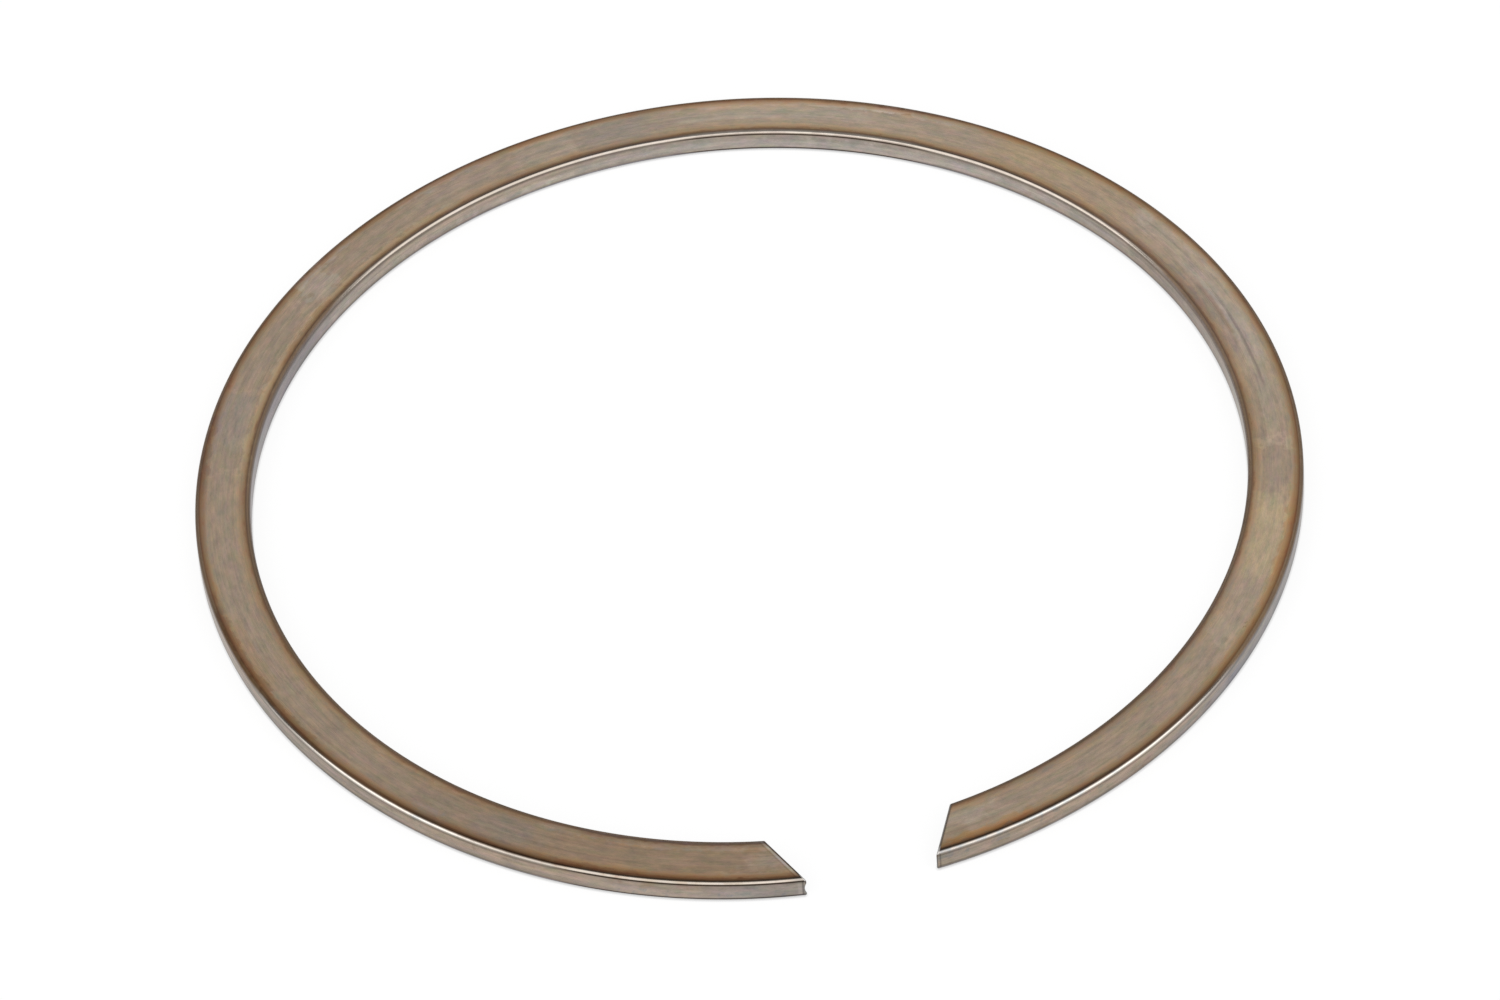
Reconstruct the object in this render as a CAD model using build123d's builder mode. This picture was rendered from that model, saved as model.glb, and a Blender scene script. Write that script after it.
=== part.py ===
from build123d import *
import math
import os

# A snap ring: flat spring steel bent edgewise into an open circle.
# Its axis is Z, mid-thickness is at Z = 0 and the gap faces -Y.
# Lengths are in millimetres and angles in degrees.

# The free ring.
outer_diameter = 110.0
radial_width = 5.5
thickness = 2.5
edge_radius = 0.4  # of the four long edges

# The cut ends.
gap_at_rim = 12.5  # straight across, from outer corner to outer corner
end_lean = 24.5  # of each end face, against the gap's centre line
end_break = 0.1  # rounding right around each end face
roll_depth = 0.25  # by which the shearing drew each end's upper edge back
roll_height = 0.6  # of the part of each end face that curves back
hollow_depth = 0.15  # of the hollow across the left end face
lip_radius = 0.6  # where the hollow runs out into the rest of that face
upper_lip = 0.15  # left between the hollow and the part that curves back

outer_radius = outer_diameter / 2
inner_radius = outer_radius - radial_width
mean_radius = (outer_radius + inner_radius) / 2
wall_height = thickness - 2 * edge_radius  # straight part of a rim's height

# Heights on the end faces, from mid-thickness.
roll_from = thickness / 2 - roll_height
hollow_top = roll_from - upper_lip
hollow_bottom = -wall_height / 2
hollow_middle = (hollow_top + hollow_bottom) / 2

# An end face meets the outer rim here, on the right-hand side of the gap.
corner_x = gap_at_rim / 2
corner_y = -math.sqrt(outer_radius**2 - corner_x**2)
lean_sin = math.sin(math.radians(end_lean))
lean_cos = math.cos(math.radians(end_lean))

# The gap is cut from just outside the ring to well inside it.
cut_from_y = -outer_radius - edge_radius
cut_to_y = corner_y + 2 * radial_width


def gap_half_width(y):
    """Half the gap at a depth y: it opens out from the rim inwards."""
    return corner_x + (y - corner_y) * lean_sin / lean_cos


def end_plane(side):
    """The plane of an end face, -1 for the left one and 1 for the right one.

    It starts at the outer corner. Its X points straight out of the face, into
    the gap, its Y points up and its Z runs along the face.
    """
    return Plane(
        origin=(side * corner_x, corner_y, 0),
        x_dir=(-side * lean_cos, lean_sin, 0),
        z_dir=(lean_sin, side * lean_cos, 0),
    )


def edges_along(end, edges):
    """The straight edges that run along an end face, lowest first."""
    return edges.filter_by(Axis(end.origin, end.z_dir)).sort_by(Axis.Z)


def edges_around(end, edges):
    """The edges right around an end face, without those that cross it."""
    reach = 2 * max(hollow_depth, roll_depth)
    near = edges.filter_by(
        lambda edge: abs(end.to_local_coords(edge.center()).X) < reach
    )
    return near - edges_along(end, near)[1:-1]


left_end = end_plane(-1)
right_end = end_plane(1)

with BuildPart() as snap_ring:
    # A rounded rectangle is turned into a full ring.
    with BuildSketch(Plane.XZ):
        with Locations((mean_radius, 0)):
            RectangleRounded(radial_width, thickness, edge_radius)
    revolve(axis=Axis.Z)

    # The gap is narrowest at the outer rim, so the ends are undercut and the
    # tips of pliers spread the ring without slipping off.
    with BuildSketch():
        with BuildLine():
            Polyline(
                (-gap_half_width(cut_from_y), cut_from_y),
                (gap_half_width(cut_from_y), cut_from_y),
                (gap_half_width(cut_to_y), cut_to_y),
                (-gap_half_width(cut_to_y), cut_to_y),
                close=True,
            )
        make_face()
    extrude(amount=thickness, both=True, mode=Mode.SUBTRACT)

    # The left end was sheared with a shallow hollow between two lips.
    with BuildSketch(left_end):
        with BuildLine():
            ThreePointArc(
                (0, hollow_bottom),
                (-hollow_depth, hollow_middle),
                (0, hollow_top),
            )
            Polyline(
                (0, hollow_top),
                (hollow_depth, hollow_top),
                (hollow_depth, hollow_bottom),
                (0, hollow_bottom),
            )
        make_face()
    extrude(amount=2 * radial_width, both=True, mode=Mode.SUBTRACT)
    fillet(edges_along(left_end, snap_ring.edges())[1:-1], lip_radius)

    # The shears drew the upper edge of both end faces back in a curve.
    for end in (left_end, right_end):
        with BuildSketch(end):
            with BuildLine():
                TangentArc(
                    (0, roll_from),
                    (-roll_depth, thickness / 2),
                    tangent=(0, 1),
                )
                Polyline(
                    (-roll_depth, thickness / 2),
                    (-roll_depth, thickness),
                    (roll_depth, thickness),
                    (roll_depth, roll_from),
                    (0, roll_from),
                )
            make_face()
        extrude(amount=2 * radial_width, both=True, mode=Mode.SUBTRACT)

    # Both end faces lose their sharp edges.
    fillet(edges_around(left_end, snap_ring.edges()), end_break)
    fillet(edges_around(right_end, snap_ring.edges()), end_break)

snap_ring.part.label = "snap_ring"

os.makedirs("parts", exist_ok=True)
export_step(snap_ring.part, "parts/snap_ring.step")
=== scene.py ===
import math

import bpy
import numpy as np
from mathutils import Matrix, Vector


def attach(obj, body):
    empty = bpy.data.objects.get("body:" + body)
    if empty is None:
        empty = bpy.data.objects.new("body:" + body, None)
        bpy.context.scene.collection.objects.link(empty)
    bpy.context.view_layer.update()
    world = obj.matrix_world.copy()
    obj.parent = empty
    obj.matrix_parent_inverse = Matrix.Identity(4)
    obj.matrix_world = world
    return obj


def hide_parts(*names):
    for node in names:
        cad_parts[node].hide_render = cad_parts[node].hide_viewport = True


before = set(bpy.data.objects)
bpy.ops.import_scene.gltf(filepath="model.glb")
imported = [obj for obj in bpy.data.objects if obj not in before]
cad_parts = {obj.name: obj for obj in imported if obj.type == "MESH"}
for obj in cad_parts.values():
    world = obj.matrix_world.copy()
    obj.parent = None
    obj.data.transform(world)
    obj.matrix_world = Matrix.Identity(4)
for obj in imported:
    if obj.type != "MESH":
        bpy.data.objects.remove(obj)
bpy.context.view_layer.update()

MM = 0.001

# The ring, with the same sizes as its solid
OUTER_RADIUS = 55.0 * MM
WIDTH = 5.5 * MM
THICKNESS = 2.5 * MM
EDGE_RADIUS = 0.4 * MM
MEAN_RADIUS = OUTER_RADIUS - WIDTH / 2

# Its two ends
GAP_AT_RIM = 12.5 * MM  # straight across
END_LEAN = math.radians(24.5)  # of an end face, from the gap's centre line
END_BREAK = 0.1 * MM  # radius of the rounding all round an end face
ROLL_DEPTH = 0.25 * MM  # how far shearing drew the upper edge back,
ROLL_HEIGHT = 0.6 * MM  # and over which height
HOLLOW_DEPTH = 0.15 * MM  # of the left end face
LIP_RADIUS = 0.6 * MM  # of the arcs that lead the hollow into its lips
UPPER_LIP = 0.15 * MM  # from the hollow to the drawn-back edge

# The outer corners of the ends, and how far the end planes lie from the axis
CORNER_X = GAP_AT_RIM / 2
CORNER_Y = math.sqrt(OUTER_RADIUS**2 - CORNER_X**2)
END_REACH = CORNER_X * math.cos(END_LEAN) + CORNER_Y * math.sin(END_LEAN)

# The arc of the drawn-back edge, and heights on the ends from mid-thickness
ROLL_RADIUS = (ROLL_HEIGHT**2 + ROLL_DEPTH**2) / (2 * ROLL_DEPTH)
ROLL_FROM = THICKNESS / 2 - ROLL_HEIGHT
HOLLOW_TOP = ROLL_FROM - UPPER_LIP
HOLLOW_BOTTOM = EDGE_RADIUS - THICKNESS / 2

# How finely the surface is divided
ARC_STEPS = 8  # over each rounded long edge
FACE_STEPS = 14  # across a flat face
WALL_STEPS = 28  # over the height of a rim
BREAK_STEPS = 6  # over the rounding of an end face
RING_STEPS = 400  # from end to end
GUARD = 0.04 * MM  # a narrow strip beside each rounding, to keep it crisp


# Shape of the ring


def guarded(steps, length):
    """Shares from 0 to 1, evenly spaced between a narrow strip at each end."""
    share = GUARD / length
    inner = np.linspace(share, 1 - share, steps - 1)
    return np.concatenate(([0.0], inner, [1.0]))


def section():
    """The ring's section as a grid of columns: a rounded rectangle.

    Each column has its distance u from the mean radius and its half height z.
    The first and last columns are the two rims. In between, z follows a
    quarter circle, the flat face and another quarter circle. The last two
    arrays are the parts of the outward normal along u and z on the upper side.
    """
    half_flat = WIDTH / 2 - EDGE_RADIUS
    half_wall = THICKNESS / 2 - EDGE_RADIUS
    turn = np.linspace(0.0, math.pi / 2, ARC_STEPS + 1)
    flat = guarded(FACE_STEPS, 2 * half_flat)[1:-1] * 2 - 1
    nu = np.concatenate((-np.cos(turn), 0 * flat, np.sin(turn)))
    nz = np.concatenate((np.sin(turn), 0 * flat + 1, np.cos(turn)))
    centre = np.concatenate((0 * turn - 1, flat, 0 * turn + 1)) * half_flat
    return centre + EDGE_RADIUS * nu, half_wall + EDGE_RADIUS * nz, nu, nz


def hollow(z):
    """Depth of the left end's hollow at height z.

    It is a circular arc, HOLLOW_DEPTH deep in its middle, and two arcs of
    LIP_RADIUS lead it smoothly into the flat lips above and below it.
    """
    half = (HOLLOW_TOP - HOLLOW_BOTTOM) / 2
    radius = (half**2 + HOLLOW_DEPTH**2) / (2 * HOLLOW_DEPTH)
    centre = radius - HOLLOW_DEPTH
    lip_z = math.sqrt((radius + LIP_RADIUS) ** 2 - (centre + LIP_RADIUS) ** 2)
    meet_z = lip_z * radius / (radius + LIP_RADIUS)
    off_middle = np.abs(z - HOLLOW_BOTTOM - half)
    arc = np.sqrt(radius**2 - np.minimum(off_middle, meet_z) ** 2) - centre
    to_lip = np.clip(lip_z - off_middle, 0.0, lip_z - meet_z)
    lip = LIP_RADIUS - np.sqrt(LIP_RADIUS**2 - to_lip**2)
    return np.where(off_middle < meet_z, arc, lip)


def depth(z, setback, left):
    """How far behind its end plane an end face is, once moved in by setback.

    Above ROLL_FROM the face curves back on a circle of ROLL_RADIUS. The left
    face also has its hollow.
    """
    above = np.maximum(z - ROLL_FROM, 0.0)
    drawn_back = ROLL_RADIUS - np.sqrt((ROLL_RADIUS - setback) ** 2 - above**2)
    return drawn_back + (hollow(z) if left else 0.0)


def end_angle(radius, z, setback, left):
    """Angle at which a circle about Z, at height z, meets an end face.

    The left plane's normal leans by END_LEAN, so a point at this radius lies
    on it where radius * cos(angle - END_LEAN) is the plane's distance from Z.
    The right one is its mirror image. Angles grow from right end to left end.
    """
    cosine = -(END_REACH + depth(z, setback, left)) / radius
    angle = END_LEAN - np.arccos(cosine)
    return angle + 2 * math.pi if left else -math.pi - angle


def rolled(points, share, left):
    """Section points on the rounding between the long sides and an end face.

    The points are their distances u from the mean radius, heights z and the
    parts nu and nz of their outward normals. These turn by t to that of the
    end face. At a share f of the turn a point has moved
    END_BREAK * (1 - cos(f * t)) into the section, and stands
    END_BREAK * (1 - cos((1 - f) * t)) inside the end face.
    """
    u, z, nu, nz = points
    angle = end_angle(MEAN_RADIUS + u, 0 * u, 0.0, True)
    outward = np.cos(angle - END_LEAN)
    climb = np.maximum(z - ROLL_FROM, 0.0) / ROLL_RADIUS
    turn = np.arccos(nu * outward * np.sqrt(1 - climb**2) + nz * climb)
    inset = END_BREAK * (1 - np.cos(share * turn))
    setback = END_BREAK * (1 - np.cos((1 - share) * turn))
    radius = MEAN_RADIUS + u - inset * nu
    z = z - inset * nz
    return radius, end_angle(radius, z, setback, left), z


def polar(radius, angle, z):
    """Points from their distance to the axis, angle about it and height."""
    return np.stack((radius * np.cos(angle), radius * np.sin(angle), z), axis=-1)


def around(grid):
    """A grid's border as one loop: up the first column, over the tops, down
    the last column and back along the bottoms."""
    return np.concatenate(
        (grid[0, :], grid[1:, -1], grid[-1, -2::-1], grid[-2:0:-1, 0])
    )


def bordered(shape, border, first):
    """Point numbers of a grid whose border is taken from a loop, and whose
    inner points are numbered from first on."""
    index = np.empty(shape, int)
    inner = index[1:-1, 1:-1]
    inner[:] = np.arange(first, first + inner.size).reshape(inner.shape)
    place = around(np.arange(index.size).reshape(shape))
    index.reshape(-1)[place] = border
    return index


def quads(index):
    """Four-sided faces between neighbours on a grid of point numbers."""
    corners = (index[:-1, :-1], index[1:, :-1], index[1:, 1:], index[:-1, 1:])
    return np.stack(corners, axis=-1).reshape(-1, 4)


def ring_surface():
    """The ring's points, its faces and which of those belong to the ends.

    The section is a grid of columns and rows, and its border a loop of points,
    each at its own radius and height. Every point of the loop keeps to its
    circle and goes from where that circle meets the right end's rounding to
    where it meets the left one's, in equal shares. The loop then goes over
    each rounding, and the whole grid, moved in by the same rule, closes it.
    """
    u, half, nu, nz = section()
    rows = guarded(WALL_STEPS, THICKNESS - 2 * EDGE_RADIUS) * 2 - 1
    ones = np.ones_like(rows)
    grid = [
        u[:, None] * ones,
        half[:, None] * rows,
        nu[:, None] * ones,
        nz[:, None] * rows,
    ]
    loop = [around(part) for part in grid]

    # The long sides and both roundings, as rings of the border loop.
    shares = np.linspace(1.0, 0.0, BREAK_STEPS + 1)
    right = [polar(*rolled(loop, share, False)) for share in shares]
    left = [polar(*rolled(loop, share, True)) for share in shares[::-1]]
    radius, start, z = rolled(loop, 0.0, False)
    stop = rolled(loop, 0.0, True)[1]
    along = guarded(RING_STEPS, 2 * math.pi * MEAN_RADIUS)[1:-1, None]
    body = polar(radius, start + along * (stop - start), z + 0 * along)
    rings = np.concatenate((right, body, left))

    # The two end faces inside their roundings.
    right_cap = polar(*rolled(grid, 1.0, False))[1:-1, 1:-1]
    left_cap = polar(*rolled(grid, 1.0, True))[1:-1, 1:-1]

    count, size = rings.shape[:2]
    index = np.arange(count * size).reshape(count, size)
    sides = quads(np.concatenate((index, index[:, :1]), axis=1))
    step = np.repeat(np.arange(count - 1), size)
    on_end = (step < BREAK_STEPS) | (step >= count - 1 - BREAK_STEPS)

    right_first = index.size
    left_first = right_first + right_cap[..., 0].size
    right_faces = quads(bordered(grid[0].shape, index[0], right_first))
    left_faces = quads(bordered(grid[0].shape, index[-1], left_first))
    points = (rings, right_cap, left_cap)
    faces = (sides[:, ::-1], right_faces, left_faces[:, ::-1])
    caps = np.ones(len(right_faces) + len(left_faces), bool)
    return (
        np.concatenate([part.reshape(-1, 3) for part in points]),
        np.concatenate(faces),
        np.concatenate((on_end, caps)),
    )


def mesh_object(name, points, faces):
    """An object of these points and four-sided faces, smoothly shaded."""
    mesh = bpy.data.meshes.new(name)
    mesh.vertices.add(len(points))
    mesh.vertices.foreach_set("co", points.astype(np.float32).ravel())
    mesh.loops.add(faces.size)
    mesh.loops.foreach_set("vertex_index", faces.astype(np.int32).ravel())
    mesh.polygons.add(len(faces))
    starts = np.arange(0, faces.size, faces.shape[1], dtype=np.int32)
    mesh.polygons.foreach_set("loop_start", starts)
    mesh.polygons.foreach_set("use_smooth", np.ones(len(faces), bool))
    mesh.update(calc_edges=True)
    mesh.validate()
    piece = bpy.data.objects.new(name, mesh)
    bpy.context.scene.collection.objects.link(piece)
    return piece


# Node helpers


def feed(tree, socket, source):
    """Give an input a link from another node's output, or a value: None leaves
    it as it is, and a colour comes without its alpha."""
    if isinstance(source, bpy.types.NodeSocket):
        tree.links.new(source, socket)
    elif source is None:
        return
    elif socket.type == "RGBA":
        socket.default_value = (*source, 1.0)
    else:
        socket.default_value = source


def put(tree, kind, *sources, **settings):
    """A node with these settings, its inputs fed in order from the sources."""
    node = tree.nodes.new(kind)
    for name, value in settings.items():
        setattr(node, name, value)
    for socket, source in zip(node.inputs, sources):
        feed(tree, socket, source)
    return node


def maths(tree, operation, *sources):
    """The result of one Math node."""
    return put(tree, "ShaderNodeMath", *sources, operation=operation).outputs[0]


def product(tree, first, *others):
    """Values multiplied together."""
    for other in others:
        first = maths(tree, "MULTIPLY", first, other)
    return first


def between(tree, share, first, second):
    """The value a share of the way from the first to the second."""
    return put(tree, "ShaderNodeMix", share, None, first, second).outputs[0]


def rescaled(tree, value, given, wanted):
    """A value carried from one range over to another, and kept inside it."""
    return put(tree, "ShaderNodeMapRange", value, *given, *wanted).outputs[0]


def smooth_share(tree, value, zero_at, one_at):
    """0 up to one value, 1 from another on, with a smooth rise between."""
    node = put(
        tree,
        "ShaderNodeMapRange",
        value,
        zero_at,
        one_at,
        interpolation_type="SMOOTHSTEP",
    )
    return node.outputs["Result"]


def mixed(tree, share, first, second, blend_type="MIX"):
    """One colour blended over another by a share."""
    node = put(tree, "ShaderNodeMix", data_type="RGBA", blend_type=blend_type)
    sockets = {socket.identifier: socket for socket in node.inputs}
    feed(tree, sockets["Factor_Float"], share)
    feed(tree, sockets["A_Color"], first)
    feed(tree, sockets["B_Color"], second)
    return next(s for s in node.outputs if s.identifier == "Result_Color")


def multiplied(tree, share, colour, factors):
    """A colour multiplied by these factors, as far as the share reaches."""
    return mixed(tree, share, colour, factors, "MULTIPLY")


def grey(tree, shade):
    """The grey of this shade."""
    return put(tree, "ShaderNodeCombineColor", shade, shade, shade).outputs[0]


def noise(tree, vector, scale, detail, roughness):
    """Outputs of a noise texture: its value, then its colour."""
    node = tree.nodes.new("ShaderNodeTexNoise")
    feed(tree, node.inputs["Vector"], vector)
    feed(tree, node.inputs["Scale"], scale)
    feed(tree, node.inputs["Detail"], detail)
    feed(tree, node.inputs["Roughness"], roughness)
    return node.outputs


def stretched_noise(tree, along, width, length, detail, roughness):
    """Noise with grains this wide across the ring and this long along it."""
    size = put(tree, "ShaderNodeCombineXYZ", width, length, width).outputs[0]
    vector = put(tree, "ShaderNodeVectorMath", along, size, operation="DIVIDE")
    return noise(tree, vector.outputs["Vector"], 1.0, detail, roughness)


def new_group(name, inputs, outputs):
    """An empty node group. Inputs are given as (name, type, value), and
    outputs as (name, type)."""
    tree = bpy.data.node_groups.new(name, "ShaderNodeTree")
    for label, kind, value in inputs:
        socket = tree.interface.new_socket(label, in_out="INPUT", socket_type=kind)
        if value is not None:
            socket.default_value = value
    for label, kind in outputs:
        tree.interface.new_socket(label, in_out="OUTPUT", socket_type=kind)
    source = tree.nodes.new("NodeGroupInput")
    target = tree.nodes.new("NodeGroupOutput")
    return tree, source.outputs, target.inputs


def use(tree, group, **inputs):
    """A node group placed in a material, with its inputs given by name. An
    underscore in a name stands for a space."""
    node = put(tree, "ShaderNodeGroup", node_tree=group)
    for name, source in inputs.items():
        feed(tree, node.inputs[name.replace("_", " ").capitalize()], source)
    return node.outputs


# Node groups

PAST_SIDES = 100.0  # how steeply From end grows on the back half


def place_group():
    """Where a point is on the ring, in millimetres and degrees.

    Bearing is the angle about the axis, clockwise from the back, so that it
    jumps only inside the gap. From end is the distance behind the nearer end
    plane, |x| * cos(lean) - y * sin(lean) less that plane's distance from the
    axis, and large on the back half. Along is (radius, arc length, height), in
    which a pattern stretched along Y follows the ring. Outer is 1 nearer to
    the outer rim and 0 nearer to the inner one, and Left is 1 on the left.
    """
    tree, given, result = new_group(
        "Place on the ring",
        [("Position", "NodeSocketVector", None)],
        [
            ("Bearing", "NodeSocketFloat"),
            ("Radius", "NodeSocketFloat"),
            ("From rim", "NodeSocketFloat"),
            ("From face", "NodeSocketFloat"),
            ("Height", "NodeSocketFloat"),
            ("From end", "NodeSocketFloat"),
            ("Along", "NodeSocketVector"),
            ("Outer", "NodeSocketFloat"),
            ("Left", "NodeSocketFloat"),
        ],
    )
    xyz = put(tree, "ShaderNodeSeparateXYZ", given["Position"]).outputs
    flat = put(tree, "ShaderNodeCombineXYZ", xyz["X"], xyz["Y"]).outputs[0]
    length = put(tree, "ShaderNodeVectorMath", flat, operation="LENGTH")
    radius = maths(tree, "DIVIDE", length.outputs["Value"], MM)
    height = maths(tree, "DIVIDE", xyz["Z"], MM)
    turn = maths(tree, "ARCTAN2", xyz["X"], xyz["Y"])
    bearing = maths(tree, "DEGREES", turn)
    arc = maths(tree, "MULTIPLY", turn, MEAN_RADIUS / MM)

    off_mean = maths(tree, "SUBTRACT", radius, MEAN_RADIUS / MM)
    off_mean = maths(tree, "ABSOLUTE", off_mean)
    off_level = maths(tree, "ABSOLUTE", height)

    aside = maths(tree, "ABSOLUTE", xyz["X"])
    behind = maths(tree, "MULTIPLY", aside, math.cos(END_LEAN) / MM)
    forward = maths(tree, "MULTIPLY", xyz["Y"], math.sin(END_LEAN) / MM)
    behind = maths(tree, "SUBTRACT", behind, forward)
    behind = maths(tree, "SUBTRACT", behind, END_REACH / MM)
    back_half = maths(tree, "MULTIPLY", xyz["Y"], PAST_SIDES / MM)

    places = {
        "Bearing": bearing,
        "Radius": radius,
        "From rim": maths(tree, "SUBTRACT", WIDTH / 2 / MM, off_mean),
        "From face": maths(tree, "SUBTRACT", THICKNESS / 2 / MM, off_level),
        "Height": height,
        "From end": maths(tree, "MAXIMUM", behind, back_half),
        "Along": put(tree, "ShaderNodeCombineXYZ", radius, arc, height).outputs[0],
        "Outer": maths(tree, "GREATER_THAN", radius, MEAN_RADIUS / MM),
        "Left": maths(tree, "LESS_THAN", bearing, 0.0),
    }
    for name, place in places.items():
        tree.links.new(place, result[name])
    return tree


def streaks_group():
    """Lines left by drawing the wire through its die, as values about 0.5.

    Noise, finely divided across the wire and long along it.
    """
    tree, given, result = new_group(
        "Drawn streaks",
        [
            ("Along", "NodeSocketVector", None),
            ("Width", "NodeSocketFloat", 0.3125),
            ("Length", "NodeSocketFloat", 16.0),
        ],
        [("Streaks", "NodeSocketFloat")],
    )
    lines = stretched_noise(
        tree,
        given["Along"],
        given["Width"],
        given["Length"],
        detail=3.0,
        roughness=0.6,
    )
    tree.links.new(lines[0], result["Streaks"])
    return tree


def mottling_group():
    """Uneven shade and colour of the heat tint, as a colour about 0.5.

    Noise, a few times as long along the ring as across it, in which all three
    channels rise and fall together and each a little by itself as well.
    """
    tree, given, result = new_group(
        "Mottling",
        [
            ("Along", "NodeSocketVector", None),
            ("Width", "NodeSocketFloat", 0.7),
            ("Length", "NodeSocketFloat", 2.2),
            ("Own share", "NodeSocketFloat", 0.34),
        ],
        [("Colour", "NodeSocketColor"), ("Shade", "NodeSocketFloat")],
    )
    spots = stretched_noise(
        tree,
        given["Along"],
        given["Width"],
        given["Length"],
        detail=5.0,
        roughness=0.78,
    )
    shade = spots[0]
    colour = mixed(tree, given["Own share"], grey(tree, shade), spots["Color"])
    tree.links.new(colour, result["Colour"])
    tree.links.new(shade, result["Shade"])
    return tree


def patch_group():
    """A soft-edged patch on a face: 1 inside it and 0 outside.

    It reaches its half spread to both sides of its middle bearing, and its
    half width to both sides of its middle radius, and fades out beyond. As
    long as no radius is given, it covers the whole width of the ring.
    """
    tree, given, result = new_group(
        "Patch",
        [
            ("Bearing", "NodeSocketFloat", 0.0),
            ("Radius", "NodeSocketFloat", 0.0),
            ("Middle bearing", "NodeSocketFloat", 0.0),
            ("Half spread", "NodeSocketFloat", 5.0),
            ("Fade", "NodeSocketFloat", 2.0),
            ("Middle radius", "NodeSocketFloat", MEAN_RADIUS / MM),
            ("Half width", "NodeSocketFloat", 4.0),
            ("Radial fade", "NodeSocketFloat", 0.8),
        ],
        [("Share", "NodeSocketFloat")],
    )

    def within(value, middle, half, fade):
        """1 as far as half to both sides of the middle, then fading to 0."""
        off = maths(tree, "SUBTRACT", given[value], given[middle])
        past = maths(tree, "SUBTRACT", maths(tree, "ABSOLUTE", off), given[half])
        fading = maths(tree, "DIVIDE", past, given[fade])
        return smooth_share(tree, fading, 1.0, 0.0)

    share = product(
        tree,
        within("Bearing", "Middle bearing", "Half spread", "Fade"),
        within("Radius", "Middle radius", "Half width", "Radial fade"),
    )
    tree.links.new(share, result["Share"])
    return tree


# Colours across the section, by how far a point lies round the corner from a
# face to a rim: its distance in mm from the face less that from the rim. The
# rounded edge lies between -0.4 and 0.4. Its bright stops are rubbed metal with
# a painted highlight, and the dark stops to both sides of them, like the darker
# margins, are heat tint with painted shade.
OUTER_TINTS = (
    (-2.30, (0.365, 0.283, 0.212)),
    (-1.45, (0.363, 0.278, 0.203)),
    (-1.15, (0.364, 0.271, 0.184)),
    (-0.95, (0.338, 0.232, 0.144)),
    (-0.75, (0.290, 0.183, 0.103)),
    (-0.55, (0.230, 0.134, 0.072)),
    (-0.42, (0.150, 0.078, 0.041)),
    (-0.20, (0.090, 0.055, 0.035)),
    (-0.08, (0.160, 0.130, 0.110)),
    (0.04, (0.560, 0.510, 0.460)),
    (0.24, (0.600, 0.545, 0.490)),
    (0.36, (0.340, 0.290, 0.245)),
    (0.46, (0.250, 0.205, 0.165)),
    (0.58, (0.350, 0.282, 0.227)),
    (0.70, (0.430, 0.348, 0.280)),
    (1.25, (0.445, 0.360, 0.293)),
)
INNER_TINTS = (
    (-2.30, (0.365, 0.283, 0.212)),
    (-1.45, (0.372, 0.282, 0.200)),
    (-1.10, (0.370, 0.262, 0.168)),
    (-0.90, (0.350, 0.238, 0.146)),
    (-0.72, (0.308, 0.198, 0.117)),
    (-0.55, (0.212, 0.127, 0.071)),
    (-0.42, (0.134, 0.083, 0.053)),
    (-0.25, (0.138, 0.100, 0.077)),
    (-0.11, (0.420, 0.362, 0.310)),
    (-0.01, (0.545, 0.478, 0.412)),
    (0.12, (0.505, 0.440, 0.378)),
    (0.26, (0.285, 0.240, 0.202)),
    (0.38, (0.225, 0.183, 0.148)),
    (0.50, (0.318, 0.263, 0.217)),
    (0.64, (0.425, 0.362, 0.305)),
    (1.25, (0.442, 0.386, 0.334)),
)
FLAT_FROM = 0.3  # a wall begins this far round the corner, a face as far before

# How far the margins' tints wander with the mottling, in mm, and where round
# the corner that starts and is full
MARGIN_WANDER = 1.2
MARGIN = (-0.35, -0.75)

# Tints of the edges where they aren't rubbed bright: dull, and painted darker as in
# shade at the sides, in the darkest stretch and on the lower edges
DULL_SHADED_TOP = (0.275, 0.190, 0.126)
DARKEST_SHADE_TOP = (0.165, 0.105, 0.058)
DULL_SHADED_SIDE = (0.285, 0.230, 0.198)
SHADED_BELOW = (0.265, 0.245, 0.270)
# The dark line by the edges is painted shade below the painted highlight.
LINE_TINT = (0.072, 0.050, 0.036)  # of the dark lines, here and by the ends

# Stretches of the ring, given by bearing, half spread and fade in degrees:
# where the outer and the inner upper edge are rubbed bright with a painted
# highlight, where that painted highlight is brightest and dimmest, where the
# bright line lies a little further in with a painted dark line of shade below
# it, and where the outer edge is painted darkest, as in shade. The bearing jumps
# in the gap, so the outer edge's rubbed stretch is given once for each side of
# the jump.
OUTER_RUBBED_HIGHLIT = ((-166.8, 55.0, 6.0), (193.2, 55.0, 6.0))
INNER_RUBBED_HIGHLIT = ((12.3, 54.0, 6.0),)
HIGHLIGHT_BRIGHTEST = ((153.0, 7.0, 10.0), (-129.5, 5.0, 10.0))
HIGHLIGHT_DIMMER = ((-160.0, 18.0, 6.0),)
PAINTED_SHADE_LINES = ((-162.0, 10.0, 5.0), (19.0, 12.0, 5.0))
DARKEST_SHADE = ((-107.0, 8.0, 8.0),)

# Wear of the edges, with its painted highlight and painted shade. Places and
# distances are in mm round the corner.
WEAR_ACROSS = (0.45, 0.25)  # from an edge's middle, where it starts and is full
TOP_TO_SIDE = (-0.05, 0.28)  # where the dull tint turns from top to side,
SOONER_INSIDE = 0.14  # and how much sooner it does on the inner edge
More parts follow.
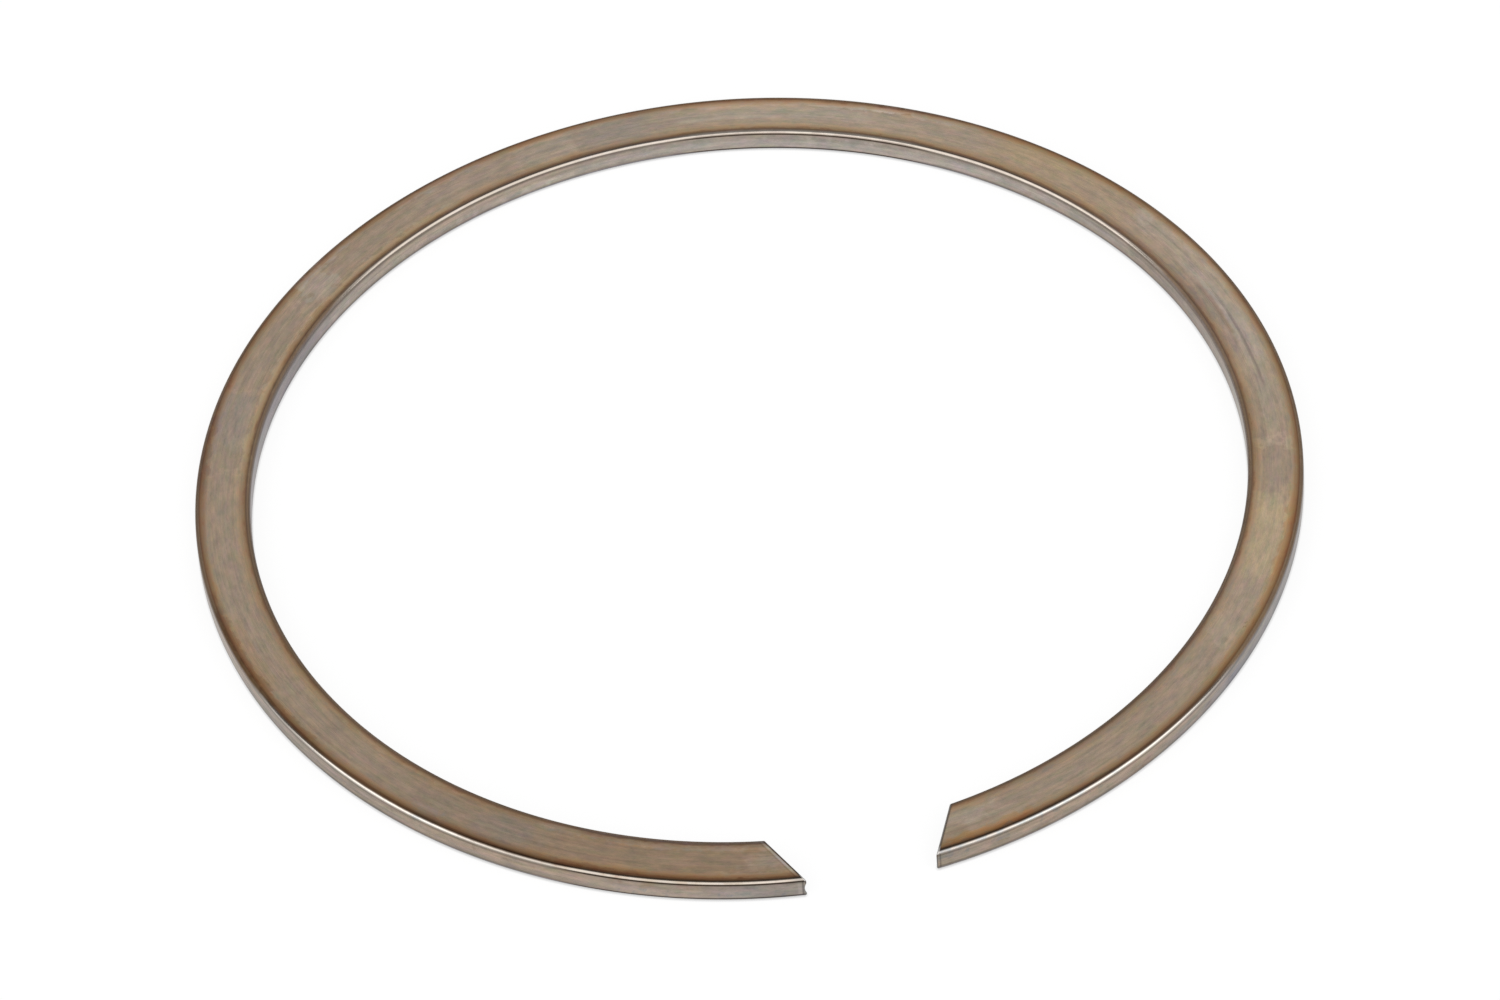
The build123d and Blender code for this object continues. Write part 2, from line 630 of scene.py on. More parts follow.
# The dark line below is painted shade, and the bright line a painted highlight.
LINE_AT = 0.30  # where the dark line lies
LINE_ACROSS = (0.16, 0.04)  # from its middle, where it starts and is full
LINE_SHIFT = 0.13  # how much further in the bright line lies there
HIGHLIGHT_BRIGHTEST_FACTORS = (1.36, 1.38, 1.38)
HIGHLIGHT_DIMMER_FACTORS = (0.84, 0.82, 0.79)
RUBBED_SMOOTHER = 0.12  # how much roughness the rubbed edges lose
DULL_ROUGHER = 0.22  # and the dull ones gain

# Marks of the heat and of handling on the upper face. Each has its bearing,
# half spread and fade in degrees, its radius, half width and fade in mm, and
# the factors by which it changes the colour.
MARKS = (
    # right across the face
    (69.0, 50.0, 22.0, 52.25, 2.4, 0.4, (1.11, 1.12, 1.13)),
    (11.0, 14.0, 12.0, 52.25, 2.4, 0.4, (1.07, 1.09, 1.10)),
    (-21.0, 4.0, 4.0, 52.25, 2.4, 0.4, (1.05, 1.06, 1.09)),
    (-111.0, 6.0, 5.0, 52.25, 2.4, 0.4, (0.93, 0.93, 0.91)),
    (-150.0, 14.0, 25.0, 52.25, 2.4, 0.4, (0.84, 0.82, 0.80)),
    # along the outer margin, from the right end round to the left one
    (167.0, 3.5, 2.5, 54.10, 0.30, 0.3, (1.10, 0.95, 0.78)),
    (163.0, 10.0, 3.0, 54.72, 0.06, 0.2, (0.80, 0.88, 0.95)),
    (129.0, 6.0, 5.0, 54.20, 0.40, 0.3, (1.04, 1.00, 0.90)),
    (115.0, 4.0, 4.0, 54.20, 0.35, 0.3, (0.92, 0.82, 0.75)),
    (71.0, 3.0, 4.0, 54.10, 0.40, 0.3, (1.12, 1.12, 1.15)),
    (32.0, 4.0, 4.0, 54.15, 0.30, 0.3, (1.12, 1.18, 1.30)),
    (24.0, 4.0, 5.0, 54.20, 0.40, 0.3, (1.18, 1.22, 1.30)),
    (10.5, 5.0, 4.0, 54.05, 0.30, 0.3, (1.08, 1.09, 1.24)),
    (-8.0, 4.5, 4.0, 54.20, 0.30, 0.3, (1.18, 1.12, 1.12)),
    (-24.0, 4.0, 4.0, 54.20, 0.30, 0.3, (1.10, 1.12, 1.24)),
    (-41.0, 3.0, 4.0, 54.30, 0.30, 0.3, (1.12, 1.19, 1.34)),
    (-71.5, 4.0, 4.0, 54.35, 0.20, 0.2, (0.86, 0.82, 0.84)),
    (-72.0, 14.0, 6.0, 54.20, 0.30, 0.5, (0.98, 0.98, 1.05)),
    (-100.0, 4.0, 4.0, 54.35, 0.20, 0.2, (0.84, 0.80, 0.83)),
    (-102.2, 3.5, 3.0, 54.00, 0.70, 0.8, (1.04, 0.97, 0.90)),
    (-111.0, 4.0, 5.0, 54.32, 0.22, 0.2, (0.84, 0.79, 0.76)),
    (-133.5, 0.8, 1.2, 54.00, 0.50, 0.6, (0.92, 1.02, 1.15)),
    (-141.0, 6.0, 4.0, 54.32, 0.22, 0.2, (0.90, 0.88, 0.90)),
    (-152.0, 3.0, 3.0, 54.35, 0.20, 0.2, (0.88, 0.81, 0.84)),
    (-156.0, 7.0, 4.0, 54.20, 0.40, 0.4, (1.09, 1.07, 1.04)),
    (-168.5, 3.0, 3.0, 54.10, 0.30, 0.3, (1.16, 1.21, 1.27)),
    # along the inner margin, the same way round
    (143.0, 20.0, 5.0, 50.30, 0.25, 0.4, (0.92, 0.98, 1.10)),
    (97.0, 3.5, 4.0, 50.60, 0.60, 0.6, (0.87, 0.88, 0.87)),
    (80.0, 5.0, 4.0, 50.90, 0.60, 0.8, (0.92, 0.93, 0.99)),
    (69.0, 7.0, 5.0, 50.45, 0.25, 0.3, (0.86, 0.88, 1.00)),
    (-50.0, 22.0, 8.0, 50.35, 0.30, 0.3, (1.16, 1.22, 1.22)),
    (-51.0, 3.5, 4.0, 50.15, 0.25, 0.3, (0.87, 0.81, 0.78)),
    (-145.0, 25.0, 10.0, 49.95, 0.35, 0.3, (1.11, 1.14, 1.18)),
    (-159.0, 11.0, 6.0, 50.40, 0.30, 0.3, (1.06, 1.13, 1.26)),
    # towards the right end, with one small dark speck
    (172.5, 2.0, 2.0, 53.20, 0.80, 0.6, (0.90, 0.88, 0.83)),
    (169.5, 2.5, 2.0, 51.95, 0.50, 0.7, (1.09, 1.14, 1.20)),
    (130.0, 1.2, 0.9, 51.90, 1.20, 0.7, (1.10, 1.10, 1.10)),
    (128.6, 0.1, 0.25, 53.75, 0.08, 0.18, (0.62, 0.60, 0.60)),
    # a pale yellow field and the darker one behind it
    (115.0, 4.2, 4.0, 52.60, 1.30, 1.0, (1.19, 1.19, 1.06)),
    (105.0, 2.4, 1.8, 52.00, 1.40, 0.9, (0.94, 0.93, 0.93)),
    (101.0, 0.5, 0.5, 52.20, 1.60, 0.6, (1.15, 1.15, 1.14)),
    (92.5, 4.5, 2.5, 52.30, 1.30, 0.9, (1.04, 1.05, 1.05)),
    # a cool pale field with a bright rim
    (84.0, 8.0, 5.0, 52.40, 0.30, 0.5, (0.98, 1.01, 1.05)),
    (74.5, 11.0, 2.5, 53.20, 0.90, 1.0, (1.07, 1.11, 1.15)),
    (62.1, 0.8, 1.0, 53.60, 1.00, 0.8, (1.10, 1.13, 1.17)),
    # a warm field with a yellow middle
    (50.5, 8.5, 3.0, 52.60, 1.60, 1.0, (1.04, 1.01, 0.96)),
    (46.8, 3.5, 3.5, 52.90, 0.70, 1.0, (1.05, 1.05, 0.97)),
    (33.0, 6.0, 3.0, 52.40, 1.60, 1.0, (1.03, 1.03, 1.04)),
    # at the back
    (12.5, 6.5, 3.0, 54.10, 0.80, 0.9, (1.12, 1.07, 1.01)),
    (15.0, 9.0, 4.0, 52.60, 0.40, 0.8, (1.00, 1.06, 1.10)),
    (-3.0, 3.0, 2.8, 52.30, 1.90, 0.9, (0.93, 0.97, 1.06)),
    (-11.4, 2.2, 2.2, 52.20, 1.20, 1.0, (1.11, 1.16, 1.21)),
    (-44.0, 1.5, 1.0, 53.00, 1.60, 0.8, (1.11, 1.18, 1.27)),
    (-47.8, 0.2, 0.5, 52.80, 1.00, 0.8, (1.10, 1.09, 1.08)),
    # on the left
    (-61.9, 0.1, 0.45, 52.50, 1.60, 0.7, (1.08, 1.08, 1.07)),
    (-66.7, 3.0, 2.2, 52.80, 1.40, 0.9, (0.97, 1.01, 1.08)),
    (-75.2, 0.1, 0.45, 52.50, 1.60, 0.7, (1.09, 1.08, 1.07)),
    (-109.5, 0.3, 0.9, 52.50, 1.60, 0.9, (1.05, 1.05, 1.05)),
    # towards the left end
    (-141.7, 2.0, 2.6, 52.00, 1.50, 1.0, (0.95, 0.98, 1.04)),
    (-159.0, 12.0, 5.0, 52.80, 1.30, 1.0, (1.01, 0.96, 0.90)),
    (-170.5, 2.2, 2.0, 52.30, 0.50, 0.8, (1.14, 1.20, 1.32)),
)
# Fine lines rubbed along the upper face, given in the same way
RUBBED_LINES = (
    (-131.0, 12.0, 8.0, 54.66, 0.10, 0.15, (0.82, 0.82, 0.80)),
    (153.0, 8.0, 8.0, 54.66, 0.10, 0.15, (0.82, 0.84, 0.88)),
    (85.5, 5.0, 4.0, 52.36, 0.05, 0.20, (0.78, 0.76, 0.80)),
    (78.5, 3.5, 3.0, 51.66, 0.10, 0.25, (0.88, 0.83, 0.80)),
    (77.0, 3.5, 3.0, 52.12, 0.10, 0.20, (1.05, 1.07, 1.10)),
    (84.5, 2.5, 2.5, 53.15, 0.20, 0.30, (1.04, 1.08, 1.12)),
    (11.0, 5.0, 4.0, 51.85, 0.08, 0.25, (1.07, 1.08, 1.09)),
)
# Stretches of the outer wall, with heights in mm in place of radii. The greyer,
# bluer ones at its right side are a painted reflection.
OUTER_WALL_MARKS = (
    (123.0, 10.0, 8.0, 0.0, 1.3, 0.3, (0.84, 0.90, 1.02)),
    (117.0, 4.0, 5.0, 0.0, 1.3, 0.3, (0.88, 0.88, 0.90)),
    (128.0, 5.0, 5.0, -0.7, 0.5, 0.4, (0.86, 0.90, 0.96)),
    (139.0, 4.0, 6.0, -0.6, 0.5, 0.4, (0.90, 0.95, 1.04)),
    (156.0, 8.0, 8.0, 0.4, 0.3, 0.5, (1.10, 1.06, 1.00)),
    (-160.7, 5.0, 6.0, -0.5, 0.4, 0.4, (1.10, 1.12, 1.15)),
    (-116.0, 10.0, 6.0, -0.6, 0.5, 0.4, (0.84, 0.86, 0.86)),
    (-140.0, 8.0, 6.0, 0.4, 0.3, 0.5, (1.08, 1.05, 1.00)),
    (-171.0, 5.0, 3.0, 0.0, 1.3, 0.3, (0.88, 0.94, 1.02)),
)
# The same on the inner wall, where the bluish dark one at its left side is a painted
# reflection.
INNER_WALL_MARKS = (
    (-65.0, 12.0, 10.0, 0.0, 1.3, 0.3, (0.73, 0.75, 0.88)),
    (77.0, 9.0, 10.0, 0.0, 1.3, 0.3, (0.84, 0.79, 0.75)),
    (12.0, 22.0, 16.0, -0.5, 0.3, 0.6, (1.15, 1.18, 1.21)),
    (-22.0, 10.0, 8.0, 0.3, 0.3, 0.5, (1.12, 1.06, 1.00)),
    (45.0, 5.0, 6.0, 0.2, 0.3, 0.5, (1.05, 1.07, 1.10)),
)

# The noise that makes the marks' outlines uneven: its scale, detail and
# roughness, and how far it pushes them, in degrees or mm
OUTLINE_NOISE = (0.7, 5.0, 0.6)
BEARING_PUSH = 8.0
RADIUS_PUSH = 2.0
LINE_PUSH = 0.3
HEIGHT_PUSH = 1.0

# Pale and dark lines beside the ends, on the faces and the walls, and the painted
# highlight along the edges dimmed there.
# Each line has its distance behind the end plane, half width and fade in mm,
# its strength by the left and by the right end, how it is blended in, and its
# colour or factors.
FACE_LINES = (
    (0.25, 0.07, 0.08, 1.0, 0.4, "MIX", LINE_TINT),
    (0.48, 0.07, 0.08, 1.0, 0.0, "MULTIPLY", (1.16, 1.36, 1.62)),
    (0.70, 0.02, 0.09, 1.0, 0.0, "MULTIPLY", (0.82, 0.82, 0.84)),
)
WALL_LINES = (
    (0.00, 0.06, 0.08, 1.0, 1.0, "MIX", LINE_TINT),
    (0.36, 0.03, 0.07, 1.0, 1.0, "MULTIPLY", (0.62, 0.62, 0.64)),
    # a pale strip, a painted highlight where the wall's corner by the left end is
    # rounded over
    (0.62, 0.10, 0.12, 1.0, 0.0, "MULTIPLY", (1.20, 1.20, 1.20)),
)
# The edges with their painted highlight, dimmed by both ends.
EDGES_HIGHLIGHT_DIMMED = ((0.00, 0.60, 0.90, 1.0, 1.0, "MULTIPLY", (0.82, 0.84, 0.87)),)
HIGHLIGHT_DIMMED_ACROSS = (0.40, 0.25)  # from an edge's middle, where it starts and is full

# What the drawn streaks do: the range of their values that counts, and the
# shades, roughness and relief that it gives
STREAK_VALUES = (0.3, 0.7)
STREAK_SHADES = (0.86, 1.14)
STREAK_ROUGHNESS = (0.24, 0.32)
STREAK_RELIEF = 0.01 * MM
RELIEF_STRENGTH = 0.2

# Strength of the mottling
FACE_MOTTLING = 0.62
EDGE_MOTTLING = 0.124

# The sheared ends: bare steel, darker above where the edge is drawn back, but
# for the tip by the rim. Heights are in mm above the foot of the drawn-back
# edge, and each pair says where a tint starts and is full.
LEFT_BARE = (0.31, 0.30, 0.28)
RIGHT_BARE = (0.22, 0.20, 0.18)
LEFT_DRAWN_BACK = LINE_TINT
RIGHT_DRAWN_BACK = (0.150, 0.120, 0.095)
TIP_BARE = (0.5, 0.48, 0.46)
DRAWN_BACK_HEIGHTS = (-0.2, 0.1)
TIP_HEIGHTS = (0.15, 0.35)
TIP_RADII = (54.2, 54.6)
SHEARED_ROUGHNESS = 0.35


# Materials


def tint_ramp(tree, across, tints):
    """Colour from a list of (place in mm, colour), blended in between."""
    low = tints[0][0]
    high = tints[-1][0]
    share = rescaled(tree, across, (low, high), (0.0, 1.0))
    ramp = put(tree, "ShaderNodeValToRGB", share)
    stops = ramp.color_ramp.elements
    while len(stops) < len(tints):
        stops.new(0.5)
    for stop, (at, colour) in zip(stops, tints):
        stop.position = (at - low) / (high - low)
        stop.color = (*colour, 1.0)
    return ramp.outputs["Color"]


def metal(name):
    """A new material of bare metal: its nodes and its shader."""
    material = bpy.data.materials.new(name)
    material.use_nodes = True
    tree = material.node_tree
    tree.nodes.clear()
    shader = tree.nodes.new("ShaderNodeBsdfPrincipled")
    shader.inputs["Metallic"].default_value = 1.0
    output = tree.nodes.new("ShaderNodeOutputMaterial")
    tree.links.new(shader.outputs["BSDF"], output.inputs["Surface"])
    return material, tree, shader.inputs


def section_colour(tree, spot, across):
    """The heat tint across a section, with a painted highlight on the rounded edges
    and painted shade beside it.
    """
    inner = tint_ramp(tree, across, INNER_TINTS)
    outer = tint_ramp(tree, across, OUTER_TINTS)
    return mixed(tree, spot["Outer"], inner, outer)


def sectors(tree, patch, spot, places):
    """1 in these stretches of the ring, and 0 elsewhere."""
    share = 0.0
    for bearing, spread, fade in places:
        near = use(
            tree,
            patch,
            Bearing=spot["Bearing"],
            Radius=spot["Radius"],
            Middle_bearing=bearing,
            Half_spread=spread,
            Fade=fade,
        )["Share"]
        share = maths(tree, "MAXIMUM", share, near)
    return share


def worn_and_highlit_edges(tree, patch, spot, across, colour):
    """The tint worn off the edges, with painted light: bright with a painted
    highlight along some stretches of the upper ones, dull and painted darker, as
    in shade, elsewhere and below, here and there with a painted dark line of
    shade beside it.

    Gives the colour, by how much the wear lowers or raises the roughness, and
    where the edges are.
    """
    on_edge = smooth_share(tree, maths(tree, "ABSOLUTE", across), *WEAR_ACROSS)
    outer = spot["Outer"]
    # The rubbed stretches carry a painted highlight, on the upper edges only.
    above = maths(tree, "GREATER_THAN", spot["Height"], 0.0)
    inner_rubbed_highlit = sectors(tree, patch, spot, INNER_RUBBED_HIGHLIT)
    outer_rubbed_highlit = sectors(tree, patch, spot, OUTER_RUBBED_HIGHLIT)
    rubbed = between(tree, outer, inner_rubbed_highlit, outer_rubbed_highlit)
    rubbed = product(tree, rubbed, above)
    shining = product(tree, rubbed, on_edge)
    dull = product(tree, maths(tree, "SUBTRACT", 1.0, rubbed), on_edge)

    # Where it isn't rubbed, the edge is dull and painted darker, as in shade, most
    # in the darkest stretch and below.
    further = between(tree, outer, SOONER_INSIDE, 0.0)
    further = maths(tree, "ADD", across, further)
    sideways = smooth_share(tree, further, *TOP_TO_SIDE)
    darkest = product(tree, sectors(tree, patch, spot, DARKEST_SHADE), outer)
    dull_shaded_top = mixed(tree, darkest, DULL_SHADED_TOP, DARKEST_SHADE_TOP)
    dull_shaded_side = mixed(tree, above, SHADED_BELOW, DULL_SHADED_SIDE)
    dull_shaded_tint = mixed(tree, sideways, dull_shaded_top, dull_shaded_side)
    colour = mixed(tree, dull, colour, dull_shaded_tint)

    # The dark line below the bright one is painted shade.
    off_line = maths(tree, "SUBTRACT", across, LINE_AT)
    off_line = maths(tree, "ABSOLUTE", off_line)
    line = smooth_share(tree, off_line, *LINE_ACROSS)
    line = product(tree, line, sectors(tree, patch, spot, PAINTED_SHADE_LINES))
    colour = mixed(tree, line, colour, LINE_TINT)

    # The painted highlight is made brighter in some stretches and dimmer in others.
    highlight_boost = product(tree, shining, sectors(tree, patch, spot, HIGHLIGHT_BRIGHTEST))
    colour = multiplied(tree, highlight_boost, colour, HIGHLIGHT_BRIGHTEST_FACTORS)
    less = product(tree, shining, sectors(tree, patch, spot, HIGHLIGHT_DIMMER))
    colour = multiplied(tree, less, colour, HIGHLIGHT_DIMMER_FACTORS)
    polish = product(tree, shining, -RUBBED_SMOOTHER)
    rougher = maths(tree, "MULTIPLY_ADD", dull, DULL_ROUGHER, polish)
    return colour, rougher, on_edge


def marked(tree, patch, bearing, level, marks, where, colour):
    """Marks at these bearings and levels, as far as the share reaches."""
    for middle, spread, fade, middle_level, width, soft, factors in marks:
        share = use(
            tree,
            patch,
            Bearing=bearing,
            Radius=level,
            Middle_bearing=middle,
            Half_spread=spread,
            Fade=fade,
            Middle_radius=middle_level,
            Half_width=width,
            Radial_fade=soft,
        )["Share"]
        colour = multiplied(tree, product(tree, share, where), colour, factors)
    return colour


def all_marks(tree, patch, spot, across, colour):
    """The marks on the face and on both walls, with uneven outlines.

    They lie elsewhere on the lower face, as its bearings count the other way.
    """
    uneven = noise(tree, spot["Along"], *OUTLINE_NOISE)[0]
    push = maths(tree, "SUBTRACT", uneven, 0.5)
    side = maths(tree, "SIGN", spot["Height"])
    bearing = product(tree, spot["Bearing"], side)
    bearing = maths(tree, "MULTIPLY_ADD", push, BEARING_PUSH, bearing)
    for marks, reach in ((MARKS, RADIUS_PUSH), (RUBBED_LINES, LINE_PUSH)):
        radius = maths(tree, "MULTIPLY_ADD", push, reach, spot["Radius"])
        colour = marked(tree, patch, bearing, radius, marks, 1.0, colour)

    on_wall = maths(tree, "GREATER_THAN", across, FLAT_FROM)
    outer = product(tree, on_wall, spot["Outer"])
    inner = maths(tree, "SUBTRACT", on_wall, outer)
    level = maths(tree, "MULTIPLY_ADD", push, HEIGHT_PUSH, spot["Height"])
    for marks, where in ((OUTER_WALL_MARKS, outer), (INNER_WALL_MARKS, inner)):
        colour = marked(tree, patch, spot["Bearing"], level, marks, where, colour)
    return colour


def near_ends(tree, spot, across, colour):
    """Pale and dark lines on the face and the walls by the ends, and the
    painted highlight along the edges dimmed there."""
    on_face = maths(tree, "LESS_THAN", across, -FLAT_FROM)
    on_wall = maths(tree, "GREATER_THAN", across, FLAT_FROM)
    on_edge = smooth_share(tree, maths(tree, "ABSOLUTE", across), *HIGHLIGHT_DIMMED_ACROSS)
    for where, lines in (
        (on_face, FACE_LINES),
        (on_wall, WALL_LINES),
        (on_edge, EDGES_HIGHLIGHT_DIMMED),
    ):
        for middle, half, fade, at_left, at_right, blend_type, tint in lines:
            off = maths(tree, "SUBTRACT", spot["From end"], middle)
            off = maths(tree, "ABSOLUTE", off)
            line = smooth_share(tree, off, half + fade, half)
            strength = between(tree, spot["Left"], at_right, at_left)
            share = product(tree, line, where, strength)
            colour = mixed(tree, share, colour, tint, blend_type)
    return colour


def spring_steel(place, streaks, mottling, patch):
    """Drawn flat wire with a thin heat tint: straw brown on the faces, darker
    along their margins, greyer on the rims and rubbed bright on the edges, with a
    painted highlight there and painted shade beside it."""
    material, tree, shader = metal("spring_steel")
    position = tree.nodes.new("ShaderNodeTexCoord").outputs["Object"]
    spot = use(tree, place, Position=position)
    spots = use(tree, mottling, Along=spot["Along"])
    lines = use(tree, streaks, Along=spot["Along"])["Streaks"]
    across = maths(tree, "SUBTRACT", spot["From face"], spot["From rim"])

    # The margins' tints wander, and by the painted dark lines of shade all lies
    # further in.
    uneven = maths(tree, "SUBTRACT", spots["Shade"], 0.5)
    in_margin = smooth_share(tree, across, *MARGIN)
    shift = product(tree, uneven, in_margin, MARGIN_WANDER)
    line = sectors(tree, patch, spot, PAINTED_SHADE_LINES)
    shift = maths(tree, "MULTIPLY_ADD", line, LINE_SHIFT, shift)
    shifted = maths(tree, "ADD", across, shift)
    colour = section_colour(tree, spot, shifted)
    colour, rougher, on_edge = worn_and_highlit_edges(tree, patch, spot, across, colour)
    colour = all_marks(tree, patch, spot, across, colour)

    # Fine streaks, then the mottling, weaker on the edges. Its colour lies about
    # a half, so twice that is a factor about 1.
    shade = rescaled(tree, lines, STREAK_VALUES, STREAK_SHADES)
    colour = multiplied(tree, 1.0, colour, grey(tree, shade))
    strength = between(tree, on_edge, FACE_MOTTLING, EDGE_MOTTLING)
    factors = multiplied(tree, 1.0, spots["Colour"], (2.0, 2.0, 2.0))
    colour = multiplied(tree, strength, colour, factors)
    colour = near_ends(tree, spot, across, colour)

    rough = rescaled(tree, lines, STREAK_VALUES, STREAK_ROUGHNESS)
    rough = maths(tree, "ADD", rough, rougher)
    relief = tree.nodes.new("ShaderNodeBump")
    relief.inputs["Strength"].default_value = RELIEF_STRENGTH
    relief.inputs["Distance"].default_value = STREAK_RELIEF
    tree.links.new(lines, relief.inputs["Height"])
    tree.links.new(colour, shader["Base Color"])
    tree.links.new(rough, shader["Roughness"])
    tree.links.new(relief.outputs["Normal"], shader["Normal"])
    return material


def sheared_steel(place):
    """The bare, greyer steel of the sheared ends, darker where their upper
    edges are drawn back."""
    material, tree, shader = metal("sheared_steel")
    position = tree.nodes.new("ShaderNodeTexCoord").outputs["Object"]
    spot = use(tree, place, Position=position)
    left = spot["Left"]
    above = maths(tree, "SUBTRACT", spot["Height"], ROLL_FROM / MM)
    drawn_back = smooth_share(tree, above, *DRAWN_BACK_HEIGHTS)
    by_rim = smooth_share(tree, spot["Radius"], *TIP_RADII)
    at_tip = product(tree, by_rim, smooth_share(tree, above, *TIP_HEIGHTS))
    dark = mixed(tree, left, RIGHT_DRAWN_BACK, LEFT_DRAWN_BACK)
    dark = mixed(tree, at_tip, dark, TIP_BARE)
    bare = mixed(tree, left, RIGHT_BARE, LEFT_BARE)
    colour = mixed(tree, drawn_back, bare, dark)
    tree.links.new(colour, shader["Base Color"])
    shader["Roughness"].default_value = SHEARED_ROUGHNESS
    return material


# Floor, camera and light

FLOOR_HALF = 3.0  # in metres
FLOOR_SEEN = 0.88  # how bright the camera sees it
FLOOR_MIRRORED = 0.65  # how bright the ring reflects it
FLOOR_PLAIN = (0.14, 0.14, 0.14)  # its plain part, which takes the soft shadow
CONTACT_REACH = 0.28  # how far from the ring, in mm, the dark line reaches
CONTACT_SHADE = 0.5  # how much light it takes away where they touch
CONTACT_SAMPLES = 6


def floor():
    """A wide pale floor under the ring. The camera and the ring's reflections
    see it near white. Its plain part takes the ring's soft shadow, and the
    narrow dark line of contact follows how much of the sky the ring hides."""
    low = -THICKNESS / 2
    mesh = bpy.data.meshes.new("floor")
    corners = [
        (-FLOOR_HALF, -FLOOR_HALF, low),
        (FLOOR_HALF, -FLOOR_HALF, low),
        (FLOOR_HALF, FLOOR_HALF, low),
        (-FLOOR_HALF, FLOOR_HALF, low),
    ]
    mesh.from_pydata(corners, [], [(0, 1, 2, 3)])
    plane = bpy.data.objects.new("floor", mesh)
    bpy.context.scene.collection.objects.link(plane)
    material = bpy.data.materials.new("floor")
    material.use_nodes = True
    tree = material.node_tree
    tree.nodes.clear()
    path = tree.nodes.new("ShaderNodeLightPath").outputs
    nearby = put(tree, "ShaderNodeAmbientOcclusion", samples=CONTACT_SAMPLES)
    nearby.inputs["Distance"].default_value = CONTACT_REACH * MM
    open_sky = nearby.outputs["AO"]
    contact = between(tree, open_sky, 1.0 - CONTACT_SHADE, 1.0)
    seen = maths(tree, "MAXIMUM", path["Is Camera Ray"], path["Is Transmission Ray"])
    seen = product(tree, seen, FLOOR_SEEN, contact)
    mirrored = product(tree, path["Is Glossy Ray"], FLOOR_MIRRORED)
    strength = maths(tree, "ADD", seen, mirrored)
    glow = put(tree, "ShaderNodeEmission", None, strength)
    plain = put(tree, "ShaderNodeBsdfDiffuse", FLOOR_PLAIN)
    both = put(tree, "ShaderNodeAddShader", glow.outputs[0], plain.outputs[0])
    put(tree, "ShaderNodeOutputMaterial", both.outputs[0])
    mesh.materials.append(material)


CAMERA_AZIMUTH = math.radians(-9.3)
CAMERA_ELEVATION = math.radians(45.138)
CAMERA_ROLL = math.radians(-4.329)
CAMERA_DISTANCE = 14.4543 * OUTER_RADIUS
CAMERA_AIM = 0.07465 * OUTER_RADIUS  # from the axis towards the camera
CAMERA_LENS = 193.1
CAMERA_SENSOR = 36.0
CAMERA_CLIP = (0.01, 20.0)  # in metres


def camera():
    """A long lens above the gap, turned a little about its own axis."""
    sideways = Vector((math.cos(CAMERA_AZIMUTH), math.sin(CAMERA_AZIMUTH), 0.0))
    towards = Vector((math.sin(CAMERA_AZIMUTH), -math.cos(CAMERA_AZIMUTH), 0.0))
    back = towards * math.cos(CAMERA_ELEVATION)
    back.z = math.sin(CAMERA_ELEVATION)
    up = back.cross(sideways)
    right = sideways * math.cos(CAMERA_ROLL) + up * math.sin(CAMERA_ROLL)
    up = back.cross(right)
    aim = towards * CAMERA_AIM
    aim.z = THICKNESS / 2
    eye = bpy.data.objects.new("camera", bpy.data.cameras.new("camera"))
    bpy.context.scene.collection.objects.link(eye)
    turned = Matrix((right, up, back)).transposed()
    eye.matrix_world = Matrix.LocRotScale(aim + back * CAMERA_DISTANCE, turned, None)
    eye.data.lens = CAMERA_LENS
    eye.data.sensor_width = CAMERA_SENSOR
    eye.data.clip_start, eye.data.clip_end = CAMERA_CLIP
    bpy.context.scene.camera = eye


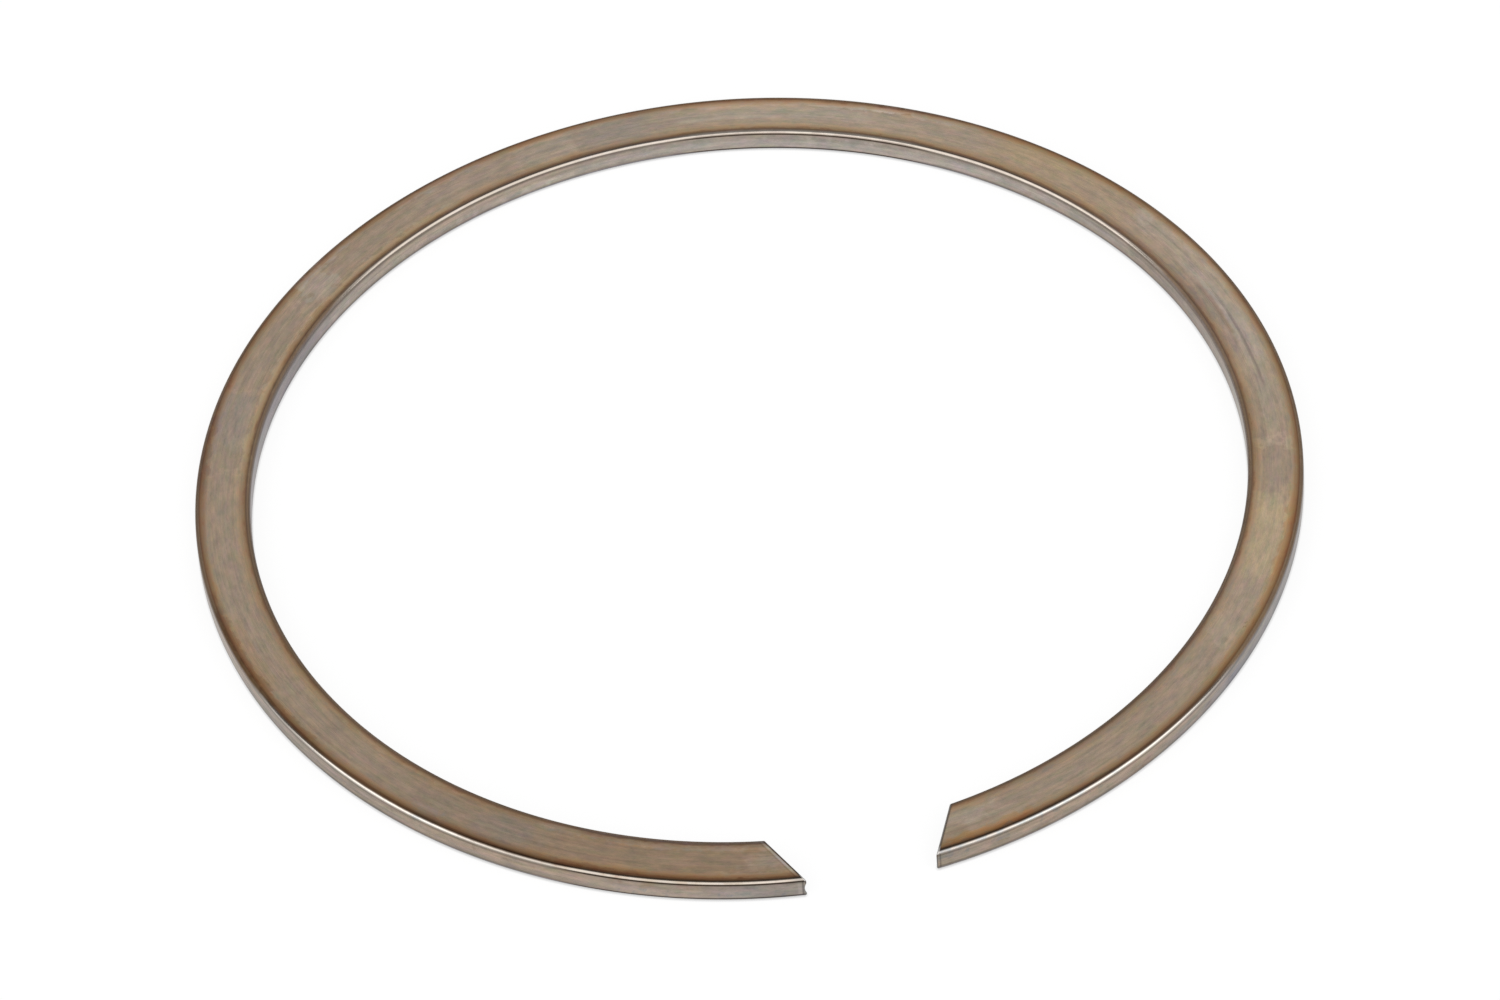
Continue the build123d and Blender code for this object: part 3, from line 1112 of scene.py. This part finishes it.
# Levels of the studio's light, and the elevations in degrees at which one
# gives way to the next
BEHIND_LEVEL = 0.25
BAND_LEVEL = 0.95
OVERHEAD_LEVEL = 0.4
FRONT_LEVEL = 1.6
BAND_FROM = (30.0, 38.0)
OVERHEAD_FROM = (55.0, 66.0)
FRONT_UP_TO = (58.0, 70.0)
FRONT_AZIMUTH = CAMERA_AZIMUTH - math.radians(4.0)
FRONT_SIDES = (-0.02, 0.05)  # sines of the angles at which the front begins


def studio():
    """A studio tent: grey behind, an even bright band above that and a softer
    grey overhead. The front is brightest, and turned a little to the left."""
    world = bpy.data.worlds.new("studio")
    bpy.context.scene.world = world
    world.use_nodes = True
    tree = world.node_tree
    tree.nodes.clear()
    direction = tree.nodes.new("ShaderNodeTexCoord").outputs["Generated"]
    height = put(tree, "ShaderNodeSeparateXYZ", direction).outputs["Z"]
    towards = (math.sin(FRONT_AZIMUTH), -math.cos(FRONT_AZIMUTH), 0.0)
    facing = put(
        tree, "ShaderNodeVectorMath", direction, towards, operation="DOT_PRODUCT"
    ).outputs["Value"]

    def rise(elevations):
        """0 below one elevation in degrees and 1 above another."""
        heights = [math.sin(math.radians(angle)) for angle in elevations]
        return smooth_share(tree, height, *heights)

    level = between(tree, rise(BAND_FROM), BEHIND_LEVEL, BAND_LEVEL)
    level = between(tree, rise(OVERHEAD_FROM), level, OVERHEAD_LEVEL)
    below = maths(tree, "SUBTRACT", 1.0, rise(FRONT_UP_TO))
    front = product(tree, below, smooth_share(tree, facing, *FRONT_SIDES))
    level = between(tree, front, level, FRONT_LEVEL)
    light = put(tree, "ShaderNodeBackground", (1.0, 1.0, 1.0), level)
    put(tree, "ShaderNodeOutputWorld", light.outputs[0])


# The whole scene

bpy.context.scene.view_settings.view_transform = "Standard"

points, faces, on_end = ring_surface()
ring = mesh_object("ring", points, faces)
place = place_group()
streaks = streaks_group()
mottling = mottling_group()
patch = patch_group()
ring.data.materials.append(spring_steel(place, streaks, mottling, patch))
ring.data.materials.append(sheared_steel(place))
ring.data.polygons.foreach_set("material_index", on_end.astype(np.int32))
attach(ring, "root")
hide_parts("snap_ring")

floor()
studio()
camera()
